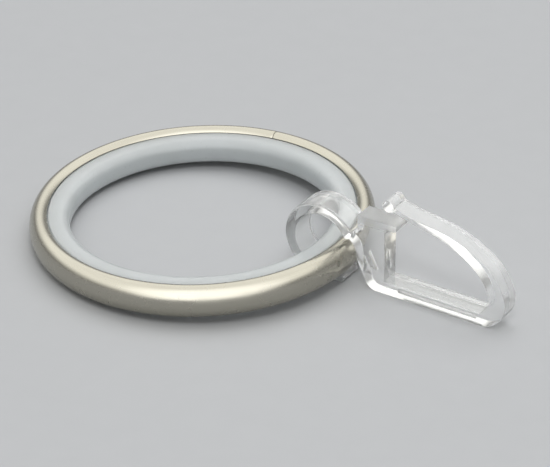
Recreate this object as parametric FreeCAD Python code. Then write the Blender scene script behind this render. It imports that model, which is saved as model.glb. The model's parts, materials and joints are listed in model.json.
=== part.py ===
import FreeCAD, Part
import math
import os

# Curtain ring with a clear pleat hook clipped on it, lying as it rests on a flat surface.
# Every outline is drawn from the ring's axis; the finished pieces are moved together so that the
# origin is the middle of the whole part on that surface. +X runs out through the hook, +Z up.
# Millimetres.

# Ring
ring_outer_d = 42.0    # over the rolled metal shell
ring_wall = 4.9        # from there in to the bore of the plastic liner
tube_h = 4.1           # height of the shell's oval section
tube_deep = 2.7        # width of that oval, measured along the ring's radius
sheet_t = 0.4          # metal sheet of the shell
lip_wrap = 131.0       # how far round the oval the sheet reaches, from the rim's middle
seam_gap = 0.12        # open butt seam where the two ends of the sheet meet
seam_turn = 90.0       # degrees round the ring from the hook to that seam
liner_h = 3.2          # height of the liner
shoulder_r = 1.15      # large rounding from its faces into the bore
lip_groove = 0.15      # narrow groove between the sheet's edge and the liner's rim
rim_round = 0.2        # small rounding of the liner's rim beside that groove

# Hook: lengths run out from the middle of the ring's tube, heights up from the surface
eye_outer_r = 4.85     # round eye that hangs on the ring
eye_wall = 1.35        # thickness of the eye's band
eye_w = 4.0            # width of that band
eye_reach = 7.65       # from the tube's middle back to the outside of the eye
tongue_out = 0.6       # how far the eye's free tongue reaches past the tube's middle
run_gap = 0.15         # free height between the tongue and the tube above it
seat_gap = 0.65        # room left round the tube, so that the hook can lie askew
hook_w = 2.7           # width of the web, the bar and the arm
neck_top = 7.2         # height of the neck between the eye and the tab
web_out = 5.75         # straight edge of the web towards the curtain's loop
web_foot = 3.65        # where the web's slanting back meets the bar's underside
foot_round = 1.3       # rounding of that corner
bar_h = 1.65           # back bar that the curtain's tape hangs on
bar_out = 18.6         # where that bar turns up into the nose
heel_out = 20.3        # middle of the nose's rounded heel
heel_h = 1.8
nose_out = 21.9        # outermost point of the nose
nose_h = 4.1           # height of that point
nose_t = 2.1           # thickness of the nose
bend_out = 18.8        # middle of the bend above the nose
bend_h = 7.4
bend_t = 1.75          # thickness there
span_out = 14.4        # middle of the arm half way
span_h = 9.95
span_t = 1.15          # thickness there
waist_out = 9.0        # slender waist above the tab
waist_h = 11.15
waist_t = 0.6          # thickness there
bead_out = 6.1         # rounded bead at the arm's free end
bead_h = 12.0
bead_r = 0.75
tab_out = 7.3          # end of the flat tab that guards the opening
tab_top = 9.6          # top of the tab
tab_t = 0.8            # thickness of the tab
web_recess = 0.65      # depth of the recess in each side of the web
web_rim = 0.9          # width left round that recess
bar_groove = 0.4       # depth of the long groove in each side of the bar
hook_skew = 5.5        # degrees that the loose hook lies turned from the ring's radius

# Worked out from the sizes above
tube_up = tube_h / 2
tube_side = tube_deep / 2
tube_mid = ring_outer_d / 2 - tube_side
lift = eye_wall + run_gap
ring_tilt = math.degrees(math.asin(lift / (2 * tube_mid)))
tube_mid_z = tube_up + lift
ring_mid_z = tube_up + lift / 2
seat_side = tube_side + seat_gap
seat_up = tube_up + seat_gap
bore_r = ring_outer_d / 2 - ring_wall

up = FreeCAD.Vector(0, 0, 1)
origin = FreeCAD.Vector(0, 0, 0)


def at(x, z):
    """A point in the upright plane in which every outline is drawn."""
    return FreeCAD.Vector(x, 0, z)


def on_oval(mid_x, mid_z, half_x, half_z, degrees):
    a = math.radians(degrees)
    return at(mid_x + half_x * math.cos(a), mid_z + half_z * math.sin(a))


def face_of(edges):
    return Part.Face(Part.Wire(edges))


def line(a, b):
    return Part.LineSegment(a, b).toShape()


def arc(a, through, b):
    return Part.Arc(a, through, b).toShape()


def polygon(points):
    return Part.Face(Part.makePolygon(points + [points[0]]))


def disc(x, z, r):
    return Part.Face(Part.Wire(Part.makeCircle(r, at(x, z), FreeCAD.Vector(0, 1, 0))))


def oval_edge(mid_x, mid_z, half_x, half_z, turn):
    """The part of an upright oval that lies within a turn to either side of +X."""
    oval = Part.Ellipse(at(mid_x, mid_z + half_z), at(mid_x + half_x, mid_z), at(mid_x, mid_z))
    ends = sorted(oval.parameter(on_oval(mid_x, mid_z, half_x, half_z, side * turn))
                  for side in (-1, 1))
    middle = oval.parameter(at(mid_x + half_x, mid_z))
    if not ends[0] < middle < ends[1]:
        ends = [ends[1], ends[0] + 2 * math.pi]
    return oval.toShape(*ends)


def slab(faces, width, mid_y=0):
    """Faces drawn in the upright plane, thickened equally to both sides of mid_y and joined."""
    parts = []
    for face in faces:
        moved = face.copy()
        moved.translate(FreeCAD.Vector(0, mid_y - width / 2, 0))
        parts.append(moved.extrude(FreeCAD.Vector(0, width, 0)))
    return parts[0].fuse(parts[1:]).removeSplitter() if parts[1:] else parts[0]


def laid(shape):
    """Tip a piece of the ring up on the hook's side and lift it to where it rests."""
    shape.rotate(origin, FreeCAD.Vector(0, 1, 0), -ring_tilt)
    shape.translate(FreeCAD.Vector(0, 0, ring_mid_z))
    return shape


# Ring

def make_shell():
    """Sheet rolled to an oval channel and bent round, its two ends meeting in a butt seam."""
    outside = (tube_mid, 0, tube_side, tube_up)
    inside = (tube_mid, 0, tube_side - sheet_t, tube_up - sheet_t)
    edges = [oval_edge(*outside, lip_wrap), oval_edge(*inside, lip_wrap)]
    for turn in (lip_wrap, -lip_wrap):
        edges.append(line(on_oval(*outside, turn), on_oval(*inside, turn)))
    profile = face_of(Part.__sortEdges__(edges))
    seam_open = math.degrees(seam_gap / (ring_outer_d / 2))
    shell = profile.revolve(origin, up, 360 - seam_open)
    shell.rotate(origin, up, seam_turn + seam_open / 2)
    return laid(shell)


def make_liner():
    """Plastic inlay: a core that fills the channel and a rounded inner face that runs on the rod."""
    channel = (tube_mid, 0, tube_side - sheet_t, tube_up - sheet_t)
    lip_in = on_oval(*channel, lip_wrap)
    rim_x = on_oval(tube_mid, 0, tube_side, tube_up, lip_wrap).x - lip_groove
    top = liner_h / 2
    edges = [oval_edge(*channel, lip_wrap),
             line(at(bore_r, top - shoulder_r), at(bore_r, shoulder_r - top))]
    half_way = math.sqrt(0.5)
    for side in (1, -1):
        rim_mid = rim_x - rim_round
        shoulder_mid = bore_r + shoulder_r
        edges += [
            line(at(lip_in.x, side * lip_in.z), at(rim_x, side * lip_in.z)),
            line(at(rim_x, side * lip_in.z), at(rim_x, side * (top - rim_round))),
            arc(at(rim_x, side * (top - rim_round)),
                at(rim_mid + rim_round * half_way, side * (top - rim_round * (1 - half_way))),
                at(rim_mid, side * top)),
            line(at(rim_mid, side * top), at(shoulder_mid, side * top)),
            arc(at(shoulder_mid, side * top),
                at(shoulder_mid - shoulder_r * half_way, side * (top - shoulder_r * (1 - half_way))),
                at(bore_r, side * (top - shoulder_r))),
        ]
    profile = face_of(Part.__sortEdges__(edges))
    return laid(profile.revolve(origin, up, 360))


# Hook

def eye_band():
    """Open round eye: over the tube, round behind it and back below it to a rounded tongue."""
    mid_s = eye_outer_r - eye_reach
    band = disc(mid_s, eye_outer_r, eye_outer_r)
    band = band.cut(disc(mid_s, eye_outer_r, eye_outer_r - eye_wall))
    mouth_top = tube_mid_z + seat_up
    mouth = polygon([at(mid_s, 0), at(web_out, 0), at(web_out, mouth_top), at(mid_s, mouth_top)])
    band = band.cut(mouth)
    half = eye_wall / 2
    tongue_end = tongue_out - half
    tongue = polygon([at(mid_s, 0), at(tongue_end, 0), at(tongue_end, eye_wall),
                      at(mid_s, eye_wall)])
    return [band, tongue, disc(tongue_end, half, half)]


def web():
    """Plate that joins the eye, the bar and the tab, hollowed to clear the tube."""
    under_tab = tab_top - tab_t
    plate = polygon([at(0, neck_top), at(seat_side, neck_top), at(seat_side, under_tab),
                     at(web_out, under_tab), at(web_out, 0), at(web_foot, 0),
                     at(seat_side, tube_mid_z), at(0, tube_mid_z)])
    seat = face_of([oval_edge(0, tube_mid_z, seat_side, seat_up, 180)])
    plate = plate.cut(seat)
    return [plate.cut(disc(eye_outer_r - eye_reach, eye_outer_r, eye_outer_r - eye_wall))]


def smooth(points):
    """A curve through points, setting out level like the bar."""
    curve = Part.BSplineCurve()
    curve.interpolate(Points=points, Tangents=[at(1, 0)] * len(points),
                      TangentFlags=[point == points[0] for point in points])
    return curve


def arm():
    """Nose and sprung arm: a band that tapers along a smooth line from the bar to its bead."""
    stations = [(at(bar_out, bar_h / 2), bar_h), (at(heel_out, heel_h), nose_t),
                (at(nose_out - nose_t / 2, nose_h), nose_t), (at(bend_out, bend_h), bend_t),
                (at(span_out, span_h), span_t), (at(waist_out, waist_h), waist_t),
                (at(bead_out, bead_h), waist_t)]
    middle = smooth([point for point, thick in stations])
    outer = []
    inner = []
    for point, thick in stations:
        along = middle.tangent(middle.parameter(point))[0]
        across = at(along.z, -along.x) * (thick / 2)
        outer.append(point + across)
        inner.append(point - across)
    band = face_of([smooth(outer).toShape(), line(outer[-1], inner[-1]),
                    smooth(inner).toShape(), line(inner[0], outer[0])])
    return [band, disc(bead_out, bead_h, bead_r)]


def bar():
    return [polygon([at(web_foot, 0), at(bar_out, 0), at(bar_out, bar_h), at(web_foot, bar_h)])]


def tab():
    half = tab_t / 2
    flat = polygon([at(seat_side, tab_top - tab_t), at(tab_out - half, tab_top - tab_t),
                    at(tab_out - half, tab_top), at(seat_side, tab_top)])
    return [flat, disc(tab_out - half, tab_top - half, half)]


def side_recess():
    """Recess in the web's side: its back edge follows the web's slant."""
    back_s = seat_side + web_rim
    front_s = web_out - web_rim / 2
    top = tab_top - tab_t - web_rim
    low = bar_h + web_rim / 2
    return [polygon([at(back_s, top), at(front_s, top), at(front_s, low),
                     at(web_foot + web_rim / 2, low), at(back_s, tube_mid_z + web_rim)])]


def side_groove():
    """Long groove in the bar's side, rounded at both ends."""
    half = bar_h / 4
    mid = bar_h / 2
    left = tab_out + half
    groove = polygon([at(left, mid - half), at(bar_out, mid - half), at(bar_out, mid + half),
                      at(left, mid + half)])
    return [groove, disc(left, mid, half), disc(bar_out, mid, half)]


def make_hook():
    hook = slab(web() + bar() + arm() + tab(), hook_w)
    foot = [edge for edge in hook.Edges if edge.Length > hook_w - bar_groove
            and edge.CenterOfMass.distanceToPoint(at(web_foot, 0)) < bar_groove]
    hook = hook.makeFillet(foot_round, foot)
    hook = hook.fuse(slab(eye_band(), eye_w)).removeSplitter()
    for side in (1, -1):
        hook = hook.cut(slab(side_recess(), web_recess, side * (hook_w - web_recess) / 2))
        hook = hook.cut(slab(side_groove(), bar_groove, side * (hook_w - bar_groove) / 2))
    hook.rotate(origin, up, -hook_skew)
    hook.translate(FreeCAD.Vector(tube_mid * math.cos(math.radians(ring_tilt)), 0, 0))
    return hook


shapes = {"ring_shell": make_shell(), "glide_liner": make_liner(), "pleat_hook": make_hook()}
extent = Part.makeCompound(list(shapes.values())).optimalBoundingBox()
to_origin = FreeCAD.Vector(-extent.Center.x, -extent.Center.y, -extent.ZMin)
os.makedirs("parts", exist_ok=True)
for name, shape in shapes.items():
    shape.translate(to_origin)
    print(name, len(shape.Solids), "solid", round(shape.Volume, 2), "mm3", shape.isValid())
    shape.Solids[0].exportStep("parts/" + name + ".step")
print("moved to the origin by", to_origin)
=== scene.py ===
# %% [markdown]
# # A curtain ring with its clear hook
#
# The real object is a metal-covered curtain ring with a plastic lining, and a clear plastic hook that
# hangs on it by an open round eye. It lies on a pale table, so the ring leans on the eye's lower
# tongue. This lesson builds the three pieces, gives each its finish, and lights them softly.

# %% Load the frame
import bpy
import bmesh
import json
import math
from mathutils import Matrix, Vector, geometry

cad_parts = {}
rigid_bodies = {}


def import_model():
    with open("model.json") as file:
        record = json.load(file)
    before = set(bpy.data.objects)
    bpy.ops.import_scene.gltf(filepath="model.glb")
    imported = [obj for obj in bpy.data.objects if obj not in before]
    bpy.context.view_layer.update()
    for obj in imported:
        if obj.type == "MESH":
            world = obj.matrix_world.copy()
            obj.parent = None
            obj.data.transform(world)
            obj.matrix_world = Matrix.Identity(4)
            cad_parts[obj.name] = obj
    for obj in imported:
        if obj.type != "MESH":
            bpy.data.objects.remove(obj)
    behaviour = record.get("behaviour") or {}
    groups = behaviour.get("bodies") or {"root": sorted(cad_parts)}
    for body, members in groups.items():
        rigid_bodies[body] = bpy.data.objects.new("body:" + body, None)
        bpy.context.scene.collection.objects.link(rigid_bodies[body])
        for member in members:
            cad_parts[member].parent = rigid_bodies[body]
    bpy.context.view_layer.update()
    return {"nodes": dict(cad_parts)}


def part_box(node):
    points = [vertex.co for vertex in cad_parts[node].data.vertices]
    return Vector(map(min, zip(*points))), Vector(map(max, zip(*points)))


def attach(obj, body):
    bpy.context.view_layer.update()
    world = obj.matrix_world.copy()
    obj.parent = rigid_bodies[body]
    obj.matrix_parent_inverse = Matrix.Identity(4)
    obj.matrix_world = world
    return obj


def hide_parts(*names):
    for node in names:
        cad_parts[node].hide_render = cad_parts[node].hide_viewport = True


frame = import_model()
bpy.ops.object.select_all(action="DESELECT")

# %% [markdown]
# The frame is in metres, but every size of a piece this small reads better in millimetres. So each
# piece is modelled in millimetres round its own middle, and then laid in place and shrunk to metres
# in one go. The sizes that two pieces share are written here once. Two small distances help to find
# corners later: within near, two places count as one, and within reach they belong together.

# %% Sizes shared by the pieces, in millimetres
metre = 1000
ring_outer_r = 21.0
tube_side, tube_up = 1.35, 2.05
tube_mid = ring_outer_r - tube_side
sheet = 0.4
lip = math.radians(131.25)
bore_r = 16.1
rest_gap = 1.5
ring_tilt = math.asin(rest_gap / (2 * tube_mid))
ring_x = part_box("ring_shell")[0].x * metre + ring_outer_r * math.cos(ring_tilt)
ring_z = tube_up + rest_gap / 2
hook_w = 2.7
hook_skew = math.radians(5.5)
hook_x = ring_x + tube_mid * math.cos(ring_tilt)
near, reach = 0.01, 0.1
print("ring's middle", round(ring_x, 3), "hook's middle", round(hook_x, 3))


# %% [markdown]
# Operators act on whatever is selected, so three small helpers keep the selection clear. The first
# makes one piece the only selected one, the second opens a piece with nothing in it selected, and
# the third selects parts of it by where they are or which way they face.

# %% Helpers for selecting
def only(piece):
    """Leave edit mode, and make this piece the one that is selected and active."""
    if bpy.context.mode != "OBJECT":
        bpy.ops.object.mode_set(mode="OBJECT")
    bpy.ops.object.select_all(action="DESELECT")
    piece.select_set(True)
    bpy.context.view_layer.objects.active = piece


def edit(piece, kind):
    """Open one piece for editing by its VERT, EDGE or FACE parts, with none selected."""
    only(piece)
    bpy.ops.object.mode_set(mode="EDIT")
    bpy.ops.mesh.select_mode(type=kind)
    bpy.ops.mesh.select_all(action="DESELECT")


def pick(kind, test):
    """Select the parts whose middle, and for a face its normal, passes the test."""
    bpy.ops.mesh.select_mode(type=kind)
    bpy.ops.mesh.select_all(action="DESELECT")
    mesh = bmesh.from_edit_mesh(bpy.context.edit_object.data)
    if kind == "VERT":
        chosen = [v for v in mesh.verts if test(v.co)]
    elif kind == "EDGE":
        chosen = [e for e in mesh.edges if test((e.verts[0].co + e.verts[1].co) / 2)]
    else:
        chosen = [f for f in mesh.faces if test(f.calc_center_median(), f.normal)]
    for part in chosen:
        part.select_set(True)
    mesh.select_flush(True)
    bmesh.update_edit_mesh(bpy.context.edit_object.data)
    return len(chosen)


# %% [markdown]
# ## The metal shell
#
# On the real ring this is a strip of sheet metal, rolled to a deep channel and bent round until its
# two ends meet in a butt seam. A torus would be quicker, but it has neither the oval section, nor
# the open lips, nor the seam. So the section starts as a circle, is stretched to the oval, and loses
# its inner part between the two lips.

# %% Section of the shell
bpy.ops.mesh.primitive_circle_add(vertices=96, radius=tube_side, location=(tube_mid, 0, 0),
                                  rotation=(math.pi / 2, 0, 0))
shell = bpy.context.object
shell.name = "metal_shell"
bpy.ops.object.transform_apply(location=True, rotation=True, scale=True)
edit(shell, "VERT")
bpy.ops.mesh.select_all(action="SELECT")
bpy.ops.transform.resize(value=(1, 1, tube_up / tube_side), center_override=(tube_mid, 0, 0))
pick("VERT", lambda p: abs(math.atan2(p.z / tube_up, (p.x - tube_mid) / tube_side)) > lip + near)
bpy.ops.mesh.delete(type="VERT")
print("section corners", len(bmesh.from_edit_mesh(shell.data).verts))


# %% [markdown]
# Two more helpers finish a piece. One adds a modifier and applies it at once. The other turns the
# piece about its own axis, tips it as the ring leans, moves it to its place and shrinks it to metres.

# %% Helpers for modifiers and for laying a piece
def use(piece, kind, name, **settings):
    """Add a modifier with these settings and apply it."""
    only(piece)
    modifier = piece.modifiers.new(name, kind)
    for key, value in settings.items():
        setattr(modifier, key, value)
    bpy.ops.object.modifier_apply(modifier=modifier.name)


def lay(piece, turn, tilt, place):
    """Turn a finished piece about Z, tip it about Y, move it to its place and shrink it to metres."""
    only(piece)
    piece.rotation_euler = (0, 0, turn)
    bpy.ops.object.transform_apply(location=True, rotation=True, scale=True)
    piece.rotation_euler = (0, tilt, 0)
    piece.scale = (1 / metre, 1 / metre, 1 / metre)
    piece.location = Vector(place) * (1 / metre)
    bpy.ops.object.transform_apply(location=True, rotation=True, scale=True)
    piece.select_set(False)


# %% [markdown]
# Spinning the section gives a skin without thickness, and it stops a hair short of a full turn,
# which leaves the seam. Solidify gives the skin the sheet's thickness on its inner side, so its faces
# have to point outwards first. A small bevel then softens the cut edges, as rolling does.

# %% Spin the section and give it thickness
ring_steps = 256
seam_gap = 0.04 / ring_outer_r
cut_edge_round = 0.09
bpy.ops.mesh.select_all(action="SELECT")
bpy.ops.mesh.spin(steps=ring_steps, angle=2 * math.pi - seam_gap, center=(0, 0, 0), axis=(0, 0, 1))
bpy.ops.mesh.select_all(action="SELECT")
bpy.ops.mesh.normals_make_consistent(inside=False)
mesh = bmesh.from_edit_mesh(shell.data)
mesh.faces.ensure_lookup_table()
rim_face = max(mesh.faces, key=lambda f: f.calc_center_median().xy.length)
if rim_face.normal.xy.dot(rim_face.calc_center_median().xy) < 0:
    bpy.ops.mesh.flip_normals()
use(shell, "SOLIDIFY", "sheet", thickness=sheet, offset=-1, use_even_offset=True)
use(shell, "BEVEL", "rolled_edges", width=cut_edge_round, segments=2, limit_method="ANGLE",
    angle_limit=math.radians(50))
bpy.ops.object.shade_smooth_by_angle(angle=math.radians(40))
lay(shell, math.pi / 2 + seam_gap / 2, -ring_tilt, (ring_x, 0, ring_z))
print("shell faces", len(shell.data.polygons))

# %% [markdown]
# ## The plastic lining
#
# The lining fills the metal channel and shows as a pale band with two rounded shoulders, which is
# what runs on the rod. Its section starts as a plain rectangle. Rounding two corners gives the
# shoulders, and a finer rounding goes where it meets the lips, a hair inside them. Two cuts mark how
# high the channel's mouth is.

# %% Section of the lining
half_h, shoulder, rim_round, hair_line = 1.6, 1.15, 0.2, 0.06
rim_x = tube_mid + tube_side * math.cos(lip) - hair_line
bpy.ops.mesh.primitive_plane_add(size=1, rotation=(math.pi / 2, 0, 0),
                                 location=((bore_r + rim_x) / 2, 0, 0))
liner = bpy.context.object
liner.name = "plastic_lining"
liner.scale = (rim_x - bore_r, 2 * half_h, 1)
bpy.ops.object.transform_apply(location=True, rotation=True, scale=True)
edit(liner, "VERT")
pick("VERT", lambda p: p.x < bore_r + reach)
bpy.ops.mesh.bevel(offset=shoulder, segments=10, affect="VERTICES")
pick("VERT", lambda p: p.x > rim_x - reach)
bpy.ops.mesh.bevel(offset=rim_round, segments=3, affect="VERTICES")
lip_z = (tube_up - sheet) * math.sin(lip)
for side in (1, -1):
    bpy.ops.mesh.select_all(action="SELECT")
    bpy.ops.mesh.bisect(plane_co=(0, 0, side * lip_z), plane_no=(0, 0, 1), threshold=0.0001)
print("lining's section corners", len(bmesh.from_edit_mesh(liner.data).verts))

# %% [markdown]
# The metal grips a core that can't be seen, and it has to follow the inside of the oval. So the edge
# in the channel's mouth is pulled outwards in steps, and each new edge gets the height that the oval
# has at that turn. The faces are scaffolding only: what gets spun is the outline round them.

# %% Core in the channel
lip_x = tube_mid + (tube_side - sheet) * math.cos(lip)
pick("EDGE", lambda p: p.x > rim_x - near and abs(p.z) < lip_z - reach / 2)
bpy.ops.mesh.extrude_region_move(TRANSFORM_OT_translate={"value": (lip_x - rim_x, 0, 0)})
here_x, here_z = lip_x, lip_z
for degrees in (115, 100, 85, 70, 55, 40, 25, 12):
    turn = math.radians(degrees)
    next_x = tube_mid + (tube_side - sheet) * math.cos(turn)
    next_z = (tube_up - sheet) * math.sin(turn)
    bpy.ops.mesh.extrude_region_move(TRANSFORM_OT_translate={"value": (next_x - here_x, 0, 0)})
    bpy.ops.transform.resize(value=(1, 1, next_z / here_z), center_override=(next_x, 0, 0))
    here_x, here_z = next_x, next_z
bpy.ops.mesh.select_all(action="SELECT")
bpy.ops.mesh.region_to_loop()
bpy.ops.mesh.select_mode(type="EDGE")
bpy.ops.mesh.select_all(action="INVERT")
bpy.ops.mesh.delete(type="EDGE")
bpy.ops.mesh.select_all(action="SELECT")
bpy.ops.mesh.delete(type="ONLY_FACE")
print("lining's outline corners", len(bmesh.from_edit_mesh(liner.data).verts))


# %% [markdown]
# A full turn lays the last section on the first, and the doubled corners there would leave the
# lining open. One more helper merges them, turns every face outwards, and counts the edges that
# don't lie between two faces. On a closed piece there are none.

# %% Spin the lining and close it
def close_up(piece):
    """Merge doubled corners, turn every face outwards, and count the edges that are still open."""
    edit(piece, "VERT")
    bpy.ops.mesh.select_all(action="SELECT")
    bpy.ops.mesh.remove_doubles(threshold=0.002)
    bpy.ops.mesh.normals_make_consistent(inside=False)
    mesh = bmesh.from_edit_mesh(piece.data)
    open_edges = sum(1 for e in mesh.edges if len(e.link_faces) != 2)
    bpy.ops.object.mode_set(mode="OBJECT")
    return open_edges


bpy.ops.mesh.select_all(action="SELECT")
bpy.ops.mesh.spin(steps=ring_steps, angle=2 * math.pi, center=(0, 0, 0), axis=(0, 0, 1))
print("lining's open edges", close_up(liner))
bpy.ops.object.shade_smooth_by_angle(angle=math.radians(35))
lay(liner, 0, -ring_tilt, (ring_x, 0, ring_z))

# %% [markdown]
# ## The clear hook
#
# The hook is moulded in one piece, flat like a cut-out, so its outline carries its whole character.
# It grows here the way a hand would draw it: from one quad for the flat bar, edge by edge, up the
# web behind the eye, and round the nose into the sprung arm. Then the sheet gets its width. The
# lengths run out from the middle of the ring's section and the heights up from the table.

# %% Pull the outline on, one edge at a time
def pull(start, goal):
    """Extrude the edge between two corners, and move its two new corners to their goals."""
    mesh = bmesh.from_edit_mesh(bpy.context.edit_object.data)
    at = [Vector((x, 0, z)) for x, z in start]
    bpy.ops.mesh.select_all(action="DESELECT")
    corners = [min(mesh.verts, key=lambda v: (v.co - p).length) for p in at]
    for v in corners:
        v.select_set(True)
    mesh.select_flush(True)
    bpy.ops.mesh.extrude_region_move()
    mesh = bmesh.from_edit_mesh(bpy.context.edit_object.data)
    new = [v for v in mesh.verts if v.select]
    for p, (x, z) in zip(at, goal):
        corner = min(new, key=lambda v: (v.co - p).length)
        new.remove(corner)
        index = corner.index
        bpy.ops.mesh.select_all(action="DESELECT")
        mesh = bmesh.from_edit_mesh(bpy.context.edit_object.data)
        mesh.verts.ensure_lookup_table()
        mesh.verts[index].select_set(True)
        bpy.ops.transform.translate(value=(x - p.x, 0, z - p.z))
        mesh = bmesh.from_edit_mesh(bpy.context.edit_object.data)
        mesh.verts.ensure_lookup_table()
        new = [mesh.verts[v.index] for v in new]
    return goal


bar_h, bar_out, web_out = 1.65, 18.6, 5.75
bpy.ops.mesh.primitive_plane_add(size=1, rotation=(math.pi / 2, 0, 0),
                                 location=((web_out + bar_out) / 2, 0, bar_h / 2))
hook = bpy.context.object
hook.name = "clear_hook"
hook.scale = (bar_out - web_out, bar_h, 1)
bpy.ops.object.transform_apply(location=True, rotation=True, scale=True)
edit(hook, "VERT")
print("flat bar", round(bar_out - web_out, 2), "long and", bar_h, "high")

# %% [markdown]
# The foot slopes from the bar back to the ring. Above it the web's back edge follows the round seat
# that the eye lies in, so its places come from an arc. The tab that guards the opening is pulled out
# sideways at the top of the web, and its tip is rounded off in two steps.

# %% Foot, web and tab
web_foot = 3.65
seat_side, seat_up, tube_z = 2.0, 2.7, 3.55
back_low = web_foot + (seat_side - web_foot) * bar_h / tube_z
pull([(web_out, 0), (web_out, bar_h)], [(web_foot, 0), (back_low, bar_h)])
row = [(back_low, bar_h), (web_out, bar_h)]
for degrees in (0, 15, 30, 45, 58, 70, 81):
    turn = math.radians(degrees)
    height = tube_z + seat_up * math.sin(turn)
    row = pull(row, [(seat_side * math.cos(turn), height), (web_out, height)])
neck_top, under_tab, tab_top = 7.2, 8.8, 9.6
pull(row, [(row[0][0], neck_top), (web_out, neck_top)])
bpy.ops.mesh.select_all(action="SELECT")
bpy.ops.mesh.bisect(plane_co=(seat_side, 0, 0), plane_no=(1, 0, 0), threshold=0.0001)
row = pull([(seat_side, neck_top), (web_out, neck_top)], [(seat_side, under_tab), (web_out, under_tab)])
pull(row, [(seat_side, tab_top), (web_out, tab_top)])
tab_half, tab_mid, tab_out = 0.4, 9.2, 7.3
round_x = tab_out - tab_half
row = pull([(web_out, under_tab), (web_out, tab_top)], [(round_x, under_tab), (round_x, tab_top)])
for degrees in (30, 60):
    turn = math.radians(degrees)
    out, half = round_x + tab_half * math.sin(turn), tab_half * math.cos(turn)
    row = pull(row, [(out, tab_mid - half), (out, tab_mid + half)])
print("outline's corners", len(bmesh.from_edit_mesh(hook.data).verts))

# %% [markdown]
# The sprung arm is one smooth line that gets thinner on its way to the bead at its tip. Its line is
# drawn as joined Bezier pieces through a few places read off the real hook. Each place says how far
# out it is, how high, and how thick the plastic is there, and the outline steps along the line with
# that thickness. The last steps swell into the round bead.

# %% Nose, arm and bead
stations = [(18.6, 0.825, 1.65), (20.3, 1.8, 2.1), (20.8, 4.1, 2.1), (18.8, 7.4, 1.75),
            (14.4, 9.95, 1.15), (9.0, 11.15, 0.6), (6.79, 11.8, 0.6)]
level_start = Vector((1.6, 0, 0))
bead, bead_r = Vector((6.1, 0, 12.0)), 0.75
steps = 7


def on_line(i):
    """A station's place, without its thickness."""
    out, up, _ = stations[i]
    return Vector((out, 0, up))


def heading(i):
    """Direction of the arm's line at a station: level at the bar, and elsewhere past its neighbours."""
    if i == 0:
        return level_start
    last = min(i + 1, len(stations) - 1)
    return (on_line(last) - on_line(i - 1)) / (last - i + 1)


def across(p, along, half):
    """The two corners of the outline beside a place on the line."""
    return [(p.x + along.z * half, p.z - along.x * half), (p.x - along.z * half, p.z + along.x * half)]


row = [(bar_out, 0), (bar_out, bar_h)]
for i in range(len(stations) - 1):
    a, b = on_line(i), on_line(i + 1)
    thick, next_thick = stations[i][2], stations[i + 1][2]
    line = geometry.interpolate_bezier(a, a + heading(i) / 3, b - heading(i + 1) / 3, b, steps + 1)
    for k in range(1, steps + 1):
        along = (line[min(k + 1, steps)] - line[k - 1]).normalized()
        row = pull(row, across(line[k], along, (thick + (next_thick - thick) * k / steps) / 2))
along = (bead - on_line(-1)).normalized()
for degrees in range(40, 170, 16):
    turn = math.radians(degrees)
    row = pull(row, across(bead - along * bead_r * math.cos(turn), along, bead_r * math.sin(turn)))
print("outline's corners", len(bmesh.from_edit_mesh(hook.data).verts))

# %% [markdown]
# The foot's corner is rounded while the outline is still flat. The steps of the arm and of the tab
# left cross edges in it, and these are dissolved, so that nothing small stands in the way of a
# generous rounding. Then the sheet gets its width, and all its sharp edges are rounded. Moulded
# plastic has no sharp edge, and in clear plastic it is the rounded edges that catch the light.

# %% Width and rounded edges
foot_round, edge_round = 1.0, 0.27
pick("VERT", lambda p: (p - Vector((web_foot, 0, 0))).length < near)
bpy.ops.mesh.bevel(offset=foot_round, segments=6, affect="VERTICES")
for inside in (lambda c, n: c.x > bar_out or c.z > tab_top + 2 * reach,
               lambda c, n: under_tab < c.z < tab_top):
    pick("FACE", inside)
    bpy.ops.mesh.dissolve_faces()
use(hook, "SOLIDIFY", "width", thickness=hook_w, offset=0)
print("hook's open edges", close_up(hook))
edit(hook, "EDGE")
bpy.ops.mesh.edges_select_sharp(sharpness=math.radians(38))
bpy.ops.mesh.bevel(offset=edge_round, segments=4, affect="EDGES", clamp_overlap=True)
print("hook's open edges", close_up(hook), "faces", len(hook.data.polygons))

# %% [markdown]
# A moulder sinks a pocket into each side of the web, and a long groove into each side of the bar, so
# that thick plastic doesn't shrink as it cools. The pocket has one slanting side, along the web's
# back. A few straight cuts mark both on the side faces.

# %% Mark the pocket and the groove
pocket_left, pocket_right, pocket_low, pocket_top = 2.9, 5.3, 2.1, 7.9
slant_low, slant_high = Vector((4.1, 0, 2.1)), Vector((2.9, 0, 4.45))
slant_out = (slant_high - slant_low).cross(Vector((0, 1, 0))).normalized()
groove_left, groove_right, groove_low, groove_top = 7.7, 18.2, 0.78, 1.26


def on_side(n):
    """Whether a face with this normal lies on one of the flat sides."""
    return abs(n.y) > 0.9


def in_web(c, n):
    return on_side(n) and c.x < web_out and bar_h < c.z < under_tab


def in_bar(c, n):
    return on_side(n) and web_out < c.x < bar_out and c.z < bar_h


cuts = [(in_web, (pocket_left, 0, 0), (1, 0, 0)), (in_web, (pocket_right, 0, 0), (1, 0, 0)),
        (in_web, (0, 0, pocket_low), (0, 0, 1)), (in_web, (0, 0, pocket_top), (0, 0, 1)),
        (in_web, slant_low, slant_out),
        (in_bar, (groove_left, 0, 0), (1, 0, 0)), (in_bar, (groove_right, 0, 0), (1, 0, 0)),
        (in_bar, (0, 0, groove_low), (0, 0, 1)), (in_bar, (0, 0, groove_top), (0, 0, 1))]
edit(hook, "FACE")
for test, place, normal in cuts:
    pick("FACE", test)
    bpy.ops.mesh.bisect(plane_co=place, plane_no=normal, threshold=0.0001)
print("faces after the cuts", len(bmesh.from_edit_mesh(hook.data).faces))


# %% [markdown]
# An inset with a negative depth sinks the marked faces, and it leaves a narrow border round them.
# Selecting one face further reaches the upper rim, and that rim gets a fine rounding of its own.

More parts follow.
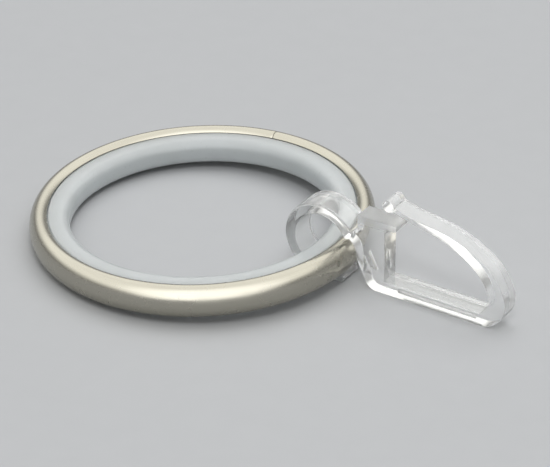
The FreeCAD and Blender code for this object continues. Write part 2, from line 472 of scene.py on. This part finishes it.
# %% Sink the pocket and the groove
pocket_depth, groove_depth, sunk_round = 0.65, 0.4, 0.06


def in_pocket(c, n):
    inside = pocket_left < c.x < pocket_right and pocket_low < c.z < pocket_top
    return on_side(n) and inside and (c - slant_low).dot(slant_out) > 0


def in_groove(c, n):
    inside = groove_left < c.x < groove_right and groove_low < c.z < groove_top
    return on_side(n) and inside


for test, depth in ((in_pocket, pocket_depth), (in_groove, groove_depth)):
    for side in (1, -1):
        count = pick("FACE", lambda c, n: n.y * side > 0 and test(c, n))
        bpy.ops.mesh.inset(thickness=sunk_round, depth=-depth)
        bpy.ops.mesh.select_more()
        bpy.ops.mesh.region_to_loop()
        bpy.ops.mesh.bevel(offset=sunk_round, segments=2, affect="EDGES")
        print("sunk faces", count)
print("hook's open edges", close_up(hook), "faces", len(hook.data.polygons))

# %% [markdown]
# The eye is a wider band than the rest of the hook. Its section is a small rectangle with rounded
# corners, turned to where the eye grows out of the web. From there it is spun over the ring and down
# behind it, to where the eye touches the table.

# %% The open eye
eye_r, eye_wall, eye_w, eye_reach, corner_round = 4.85, 1.35, 4.0, 7.65, 0.28
eye_x = eye_r - eye_reach
mid_r = eye_r - eye_wall / 2
start = math.asin((tube_z + seat_up - eye_r) / mid_r)
bpy.ops.mesh.primitive_plane_add(size=1, location=(eye_x + mid_r, 0, eye_r))
eye = bpy.context.object
eye.name = "open_eye"
eye.scale = (eye_wall, eye_w, 1)
bpy.ops.object.transform_apply(location=True, rotation=True, scale=True)
edit(eye, "VERT")
bpy.ops.mesh.select_all(action="SELECT")
bpy.ops.mesh.bevel(offset=corner_round, segments=4, affect="VERTICES")
bpy.ops.mesh.select_all(action="SELECT")
bpy.ops.transform.rotate(value=start, orient_axis="Y", center_override=(eye_x, 0, eye_r))
bpy.ops.mesh.spin(steps=72, angle=1.5 * math.pi - start, center=(eye_x, 0, eye_r), axis=(0, 1, 0))
print("eye starts", round(math.degrees(start), 1), "degrees up from level")

# %% [markdown]
# The spin leaves its last section selected, so it can be pulled straight forward under the ring. A
# few more pulls, each lower than the one before, thin it to a round end. The eye stays open there,
# so that it can snap on and off the ring. The edge of its first section is rounded last.

# %% The tongue under the ring
tongue, start_round = 0.6, 0.3
tongue_end = tongue - eye_wall / 2
bpy.ops.mesh.extrude_region_move(TRANSFORM_OT_translate={"value": (tongue_end - eye_x, 0, 0)})
here_x, here_half = tongue_end, eye_wall / 2
for degrees in (20, 38, 54, 68, 78):
    turn = math.radians(degrees)
    next_x = tongue_end + eye_wall / 2 * math.sin(turn)
    half = eye_wall / 2 * math.cos(turn)
    bpy.ops.mesh.extrude_region_move(TRANSFORM_OT_translate={"value": (next_x - here_x, 0, 0)})
    bpy.ops.transform.resize(value=(1, 1, half / here_half),
                             center_override=(next_x, 0, eye_wall / 2))
    here_x, here_half = next_x, half
seat = Vector((eye_x + mid_r * math.cos(start), 0, eye_r + mid_r * math.sin(start)))
pick("FACE", lambda c, n: (c - seat).length < reach)
bpy.ops.mesh.region_to_loop()
bpy.ops.mesh.bevel(offset=start_round, segments=4, affect="EDGES")
print("eye's open edges", close_up(eye))

# %% [markdown]
# The eye and the web are one piece of plastic. Where two clear bodies only overlap, their inner
# walls show, so they are joined by a Boolean. Both have to be closed for that, which the printed
# zeros confirm. Weighted normals then keep the flat sides flat beside their rounded edges.

# %% Join the eye to the hook
use(hook, "BOOLEAN", "eye_and_web", operation="UNION", solver="MANIFOLD", object=eye)
bpy.data.objects.remove(eye)
print("hook's open edges", close_up(hook))
bpy.ops.object.shade_smooth_by_angle(angle=math.radians(36))
use(hook, "WEIGHTED_NORMAL", "flat_sides", keep_sharp=True)

# %% [markdown]
# The flat tab came out of a part of the mould that was left rough, so it is frosted. Each corner of
# the mesh carries a value for that, which is 1 on the tab and 0 elsewhere. The finish reads it.

# %% Mark the frosted tab
web_below = 0.3
frost = hook.data.attributes.new("frost", "FLOAT", "POINT")
for v in hook.data.vertices:
    beside = seat_side - reach < v.co.x < tab_out + reach
    frost.data[v.index].value = float(beside and under_tab - web_below < v.co.z < tab_top + reach)
print("frosted corners", sum(1 for mark in frost.data if mark.value > 0.5))
lay(hook, -hook_skew, 0, (hook_x, 0, 0))

# %% [markdown]
# ## Finishes
#
# A finish is a small tree of nodes, and a few helpers keep those trees readable. The first adds any
# node with its settings and links. The others do what each finish needs: start a material, blend two
# colours, and spread a mask over a range of roughness.

# %% Node helpers
def add(tree, kind, links=(), **values):
    """Add a node, set its settings and inputs by name, and link (input, output socket) pairs."""
    node = tree.nodes.new(kind)
    for key, value in values.items():
        if hasattr(node, key):
            setattr(node, key, value)
        else:
            node.inputs[key.replace("_", " ")].default_value = value
    for name, source in links:
        tree.links.new(source, node.inputs[name])
    return node


def finish(name):
    """A new material, its tree, its shader and its object coordinates."""
    material = bpy.data.materials.new(name)
    material.use_nodes = True
    tree = material.node_tree
    place = add(tree, "ShaderNodeTexCoord").outputs["Object"]
    return material, tree, tree.nodes["Principled BSDF"], place


def blend(tree, factor, first, second, blend_type="MIX"):
    """Mix two colours by a factor, where each is a plain colour or another node's output."""
    node = add(tree, "ShaderNodeMix", [("Factor", factor)], data_type="RGBA", blend_type=blend_type)
    for socket, colour in ((node.inputs[6], first), (node.inputs[7], second)):
        if isinstance(colour, tuple):
            socket.default_value = (*colour, 1)
        else:
            tree.links.new(colour, socket)
    return node.outputs[2]


def spread(tree, mask, low, high):
    """Stretch a mask over the range from low to high."""
    return add(tree, "ShaderNodeMapRange", [("Value", mask)], To_Min=low, To_Max=high).outputs["Result"]


# %% [markdown]
# Two effects turn up in more than one finish, so each is a node group. The first is a fine grain: a
# noise that gives a mask and a bumped normal. The second is the faint dust and rub marks that any
# handled thing carries, soft patches and small specks, as a mask that varies the roughness.

# %% The two shared effects
def effect(name, takes, gives):
    """Start a node group with named inputs and outputs, and return it with the sockets of its ends."""
    tree = bpy.data.node_groups.new(name, "ShaderNodeTree")
    for side, sockets in (("INPUT", takes), ("OUTPUT", gives)):
        for label, kind in sockets:
            tree.interface.new_socket(name=label, in_out=side, socket_type="NodeSocket" + kind)
    return tree, tree.nodes.new("NodeGroupInput").outputs, tree.nodes.new("NodeGroupOutput").inputs


grain, given, result = effect("fine_grain", (("Vector", "Vector"), ("Scale", "Float"), ("Depth", "Float")),
                              (("Mask", "Float"), ("Normal", "Vector")))
noise = add(grain, "ShaderNodeTexNoise", [("Vector", given["Vector"]), ("Scale", given["Scale"])],
            Detail=4.0)
bump = add(grain, "ShaderNodeBump", [("Height", noise.outputs["Fac"]), ("Distance", given["Depth"])],
           Strength=1.0)
grain.links.new(noise.outputs["Fac"], result["Mask"])
grain.links.new(bump.outputs["Normal"], result["Normal"])

handling, given, result = effect("handling_marks", (("Vector", "Vector"), ("Amount", "Float")),
                                 (("Mask", "Float"),))
patches = add(handling, "ShaderNodeTexNoise", [("Vector", given["Vector"])], Scale=180.0, Detail=3.0)
specks = add(handling, "ShaderNodeTexNoise", [("Vector", given["Vector"])], Scale=2200.0, Detail=2.0)
soft = add(handling, "ShaderNodeMapRange", [("Value", patches.outputs["Fac"])], From_Min=0.45,
           From_Max=0.75)
fine = add(handling, "ShaderNodeMapRange", [("Value", specks.outputs["Fac"])], From_Min=0.6,
           From_Max=0.72)
both = add(handling, "ShaderNodeMath", [(0, soft.outputs["Result"]), (1, fine.outputs["Result"])],
           operation="MAXIMUM")
scaled = add(handling, "ShaderNodeMath", [(0, both.outputs["Value"]), (1, given["Amount"])],
             operation="MULTIPLY")
handling.links.new(scaled.outputs["Value"], result["Mask"])
print("shared effects", grain.name, handling.name)

# %% [markdown]
# The metal is satin nickel on rolled steel. Rolling leaves hair lines along the strip, so the grain
# has to run round the ring: the place on the surface is turned into an angle and a distance, and the
# noise is stretched along the angle.

# %% Satin nickel
nickel, tree, shader, place = finish("satin_nickel")
along_strip = 0.0006
centred = add(tree, "ShaderNodeMapping", [("Vector", place)],
              Location=(-ring_x / metre, 0, -ring_z / metre))
axes = add(tree, "ShaderNodeSeparateXYZ", [("Vector", centred.outputs["Vector"])])
around = add(tree, "ShaderNodeMath", [(0, axes.outputs["X"]), (1, axes.outputs["Y"])],
             operation="ARCTAN2")
flat = add(tree, "ShaderNodeCombineXYZ", [("X", axes.outputs["X"]), ("Y", axes.outputs["Y"])])
out = add(tree, "ShaderNodeVectorMath", [(0, flat.outputs["Vector"])], operation="LENGTH")
short = add(tree, "ShaderNodeMath", [(0, around.outputs["Value"])], operation="MULTIPLY")
short.inputs[1].default_value = along_strip
rolled = add(tree, "ShaderNodeCombineXYZ", [("X", short.outputs["Value"]), ("Y", out.outputs["Value"]),
                                            ("Z", axes.outputs["Z"])])
lines = add(tree, "ShaderNodeGroup", [("Vector", rolled.outputs["Vector"])], node_tree=grain,
            Scale=9000.0, Depth=0.000001)
marks = add(tree, "ShaderNodeGroup", [("Vector", place)], node_tree=handling, Amount=1.0)
tone = blend(tree, lines.outputs["Mask"], (0.38, 0.364, 0.312), (0.44, 0.423, 0.366))
tree.links.new(tone, shader.inputs["Base Color"])
tree.links.new(spread(tree, marks.outputs["Mask"], 0.22, 0.31), shader.inputs["Roughness"])
tree.links.new(lines.outputs["Normal"], shader.inputs["Normal"])
shader.inputs["Metallic"].default_value = 1.0
print(nickel.name, "nodes", len(tree.nodes))

# %% [markdown]
# The lining is pale, slightly translucent plastic. A little light goes in and comes out again
# nearby, which subsurface scattering gives, and its moulded skin has a soft gloss.

# %% Pale lining plastic
milk, tree, shader, place = finish("pale_lining_plastic")
skin = add(tree, "ShaderNodeGroup", [("Vector", place)], node_tree=grain, Scale=1500.0, Depth=0.000004)
marks = add(tree, "ShaderNodeGroup", [("Vector", place)], node_tree=handling, Amount=1.0)
tone = blend(tree, marks.outputs["Mask"], (0.54, 0.57, 0.575), (0.51, 0.54, 0.54))
tree.links.new(tone, shader.inputs["Base Color"])
tree.links.new(spread(tree, skin.outputs["Mask"], 0.12, 0.22), shader.inputs["Roughness"])
tree.links.new(skin.outputs["Normal"], shader.inputs["Normal"])
shader.inputs["Subsurface Weight"].default_value = 0.9
shader.inputs["Subsurface Radius"].default_value = (1.0, 1.0, 1.0)
shader.inputs["Subsurface Scale"].default_value = 0.005
shader.inputs["Specular IOR Level"].default_value = 0.5
print(milk.name, "nodes", len(tree.nodes))

# %% [markdown]
# The hook is clear plastic, so it is nearly all gloss and refraction, and what is seen in it is the
# table and the room. A moulded skin is never quite even: a faint grain bends what shows through,
# rubbed places are a little less clear, and the tab is frosted.

# %% Clear moulded plastic
clear, tree, shader, place = finish("clear_moulded_plastic")
skin = add(tree, "ShaderNodeGroup", [("Vector", place)], node_tree=grain, Scale=420.0, Depth=0.000008)
marks = add(tree, "ShaderNodeGroup", [("Vector", place)], node_tree=handling, Amount=1.0)
tone = blend(tree, marks.outputs["Mask"], (0.985, 0.99, 0.988), (0.95, 0.955, 0.95))
tree.links.new(tone, shader.inputs["Base Color"])
frosted = add(tree, "ShaderNodeAttribute", attribute_name="frost")
rough = add(tree, "ShaderNodeMix", [("Factor", frosted.outputs["Fac"]),
                                    ("A", spread(tree, marks.outputs["Mask"], 0.05, 0.14))], B=0.35)
tree.links.new(rough.outputs["Result"], shader.inputs["Roughness"])
tree.links.new(skin.outputs["Normal"], shader.inputs["Normal"])
shader.inputs["Transmission Weight"].default_value = 0.88
shader.inputs["IOR"].default_value = 1.49
print(clear.name, "nodes", len(tree.nodes))

# %% [markdown]
# The ring carries its shell and its lining, and the hook travels round the ring on its own. Each
# finished piece takes the place of the plain solid of the same name in the frame, and that solid
# gets the same finish.

# %% Hand the pieces to their bodies
for piece, material, node, body, slot in (
        (shell, nickel, "ring_shell", "ring", "ring_metal"),
        (liner, milk, "glide_liner", "ring", "liner_plastic"),
        (hook, clear, "pleat_hook", "hook", "hook_plastic")):
    piece.data.materials.clear()
    piece.data.materials.append(material)
    carried = frame["nodes"][node]
    carried.data.materials.clear()
    carried.data.materials.append(material)
    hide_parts(node)
    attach(piece, body)
    print(piece.name, "triangles", sum(len(f.vertices) - 2 for f in piece.data.polygons))

# %% [markdown]
# ## Table, light and camera
#
# Clear and metal things show their surroundings, so the light is most of their look. The table is a
# plain pale grey, with a faint weave in its tone. It lies a hair lower than the object: hard things
# touch at a few points only, and it is the thin air under clear plastic that makes its lower face
# mirror the room.

# %% Table
air_gap = 0.00005
bpy.ops.mesh.primitive_plane_add(size=3, location=(0, 0, -air_gap))
table = bpy.context.object
table.name = "table"
paper, tree, shader, place = finish("pale_table")
weave = add(tree, "ShaderNodeGroup", [("Vector", place)], node_tree=grain, Scale=300.0, Depth=0.00001)
tone = blend(tree, weave.outputs["Mask"], (0.525, 0.535, 0.545), (0.545, 0.555, 0.565))
tree.links.new(tone, shader.inputs["Base Color"])
shader.inputs["Roughness"].default_value = 0.85
shader.inputs["Specular IOR Level"].default_value = 0.1
table.data.materials.append(paper)
print("table", round(table.dimensions.x, 2), "wide")


# %% [markdown]
# Two soft lamps light the matt surfaces. The wide one hangs above and a little behind, so the soft
# shadow falls towards the viewer. The small one stands on the viewer's side, and gives the shadow
# under the ring its firmer edge. Both are hidden from mirrored rays, because what metal and clear
# plastic mirror is the room that the next step paints.

# %% Lights
def soft_box(name, place, size, watts):
    """A rectangular soft light at a place, facing the object."""
    bpy.ops.object.light_add(type="AREA", location=place)
    lamp = bpy.context.object
    lamp.name = name
    lamp.data.shape = "RECTANGLE"
    lamp.data.size, lamp.data.size_y = size
    lamp.data.energy = watts
    lamp.rotation_euler = (-Vector(place)).to_track_quat("-Z", "Y").to_euler()
    lamp.visible_glossy = False
    print(name, round(Vector(place).length, 2), "metres away")


soft_box("wide_light", (0.02, 0.16, 0.46), (0.5, 0.4), 0.68)
soft_box("small_light", (0.13, -0.24, 0.42), (0.12, 0.12), 0.4)


# %% [markdown]
# The room itself is the world's background, and it plays two parts. For matt surfaces it is a plain
# soft glow, which grows brighter from the table's level up.

# %% Glow of the room
def ramp(tree, source, stops):
    """A colour that follows a value through stops, each given as (value, colour)."""
    node = add(tree, "ShaderNodeValToRGB", [("Fac", source)])
    first, last = node.color_ramp.elements
    first.position, first.color = stops[0]
    last.position, last.color = stops[-1]
    for at, colour in stops[1:-1]:
        node.color_ramp.elements.new(at).color = colour
    return node.outputs["Color"]


world = bpy.data.worlds.new("studio")
bpy.context.scene.world = world
world.use_nodes = True
tree = world.node_tree
toward = add(tree, "ShaderNodeTexCoord").outputs["Generated"]
height = add(tree, "ShaderNodeSeparateXYZ", [("Vector", toward)])
glow = ramp(tree, height.outputs["Z"], [(0.0, (0.06, 0.06, 0.06, 1)), (0.5, (0.42, 0.42, 0.42, 1)),
                                        (1.0, (1.05, 1.05, 1.05, 1))])
print("glow stops", len(glow.node.color_ramp.elements))

# %% [markdown]
# What shiny and clear surfaces mirror is a second picture of the same room: walls that are dark at
# the table's level and bright from a little higher up, and a wide window of light on the viewer's
# side. The walls lean: their dark part reaches higher on the far side. The window is soft at its
# edge, and is found from the angle between a ray and the window's middle.

# %% Walls and window
near_turn, window_up = math.radians(27), math.radians(28)
window_middle = (math.sin(near_turn) * math.cos(window_up),
                 -math.cos(near_turn) * math.cos(window_up), math.sin(window_up))
window_core, window_edge = math.radians(12), math.radians(58)
lean = -0.1
window = add(tree, "ShaderNodeVectorMath", [(0, toward)], operation="DOT_PRODUCT")
window.inputs[1].default_value = window_middle
soft_edge = add(tree, "ShaderNodeMapRange", [("Value", window.outputs["Value"])],
                interpolation_type="SMOOTHSTEP", From_Min=math.cos(window_edge),
                From_Max=math.cos(window_core))
leaning = add(tree, "ShaderNodeMath", [(0, height.outputs["Y"]), (2, height.outputs["Z"])],
              operation="MULTIPLY_ADD")
leaning.inputs[1].default_value = lean
walls = ramp(tree, leaning.outputs["Value"], [(0.12, (0.38, 0.38, 0.37, 1)),
                                              (0.44, (1.9, 1.89, 1.82, 1)),
                                              (1.0, (1.8, 1.79, 1.73, 1))])
mirrored = blend(tree, soft_edge.outputs["Result"], walls, (2.9, 2.9, 2.88))
print("window's middle", [round(v, 2) for v in window_middle])

# %% [markdown]
# Light Path tells the two parts of the room apart: mirrored rays and rays through clear plastic see
# the walls and the window, and all other rays see the glow. Thick plastic takes a little of the
# light that passes through it, so for those rays the room is dimmed.

# %% Which rays see which room
path = add(tree, "ShaderNodeLightPath")
through = path.outputs["Is Transmission Ray"]
shiny = add(tree, "ShaderNodeMath", [(0, path.outputs["Is Glossy Ray"]), (1, through)],
            operation="MAXIMUM")
dimmed = blend(tree, through, mirrored, (0.78, 0.78, 0.78), blend_type="MULTIPLY")
seen = blend(tree, shiny.outputs["Value"], glow, dimmed)
backdrop = tree.nodes["Background"]
tree.links.new(seen, backdrop.inputs["Color"])
backdrop.inputs["Strength"].default_value = 1.0
print("room's nodes", len(tree.nodes))

# %% [markdown]
# The camera's place was worked out from the ring: how flat its ellipses look gives the height, and
# how much wider its near side is than its far side gives the distance. A long lens from close by
# keeps that slight perspective.

# %% Camera
scene = bpy.context.scene
scene.view_settings.view_transform = "Standard"
eye_place = Vector((0.14363, -0.28202, 0.19270))
look_at = Vector((-0.00018, -0.00049, 0.00345))
bpy.ops.object.camera_add(location=eye_place)
camera = bpy.context.object
camera.rotation_euler = (look_at - eye_place).to_track_quat("-Z", "Y").to_euler()
camera.data.sensor_width = 36
camera.data.lens = 201.3
camera.data.clip_start = 0.01
camera.data.clip_end = 10
scene.camera = camera
print("camera", round((look_at - eye_place).length, 3), "metres away")
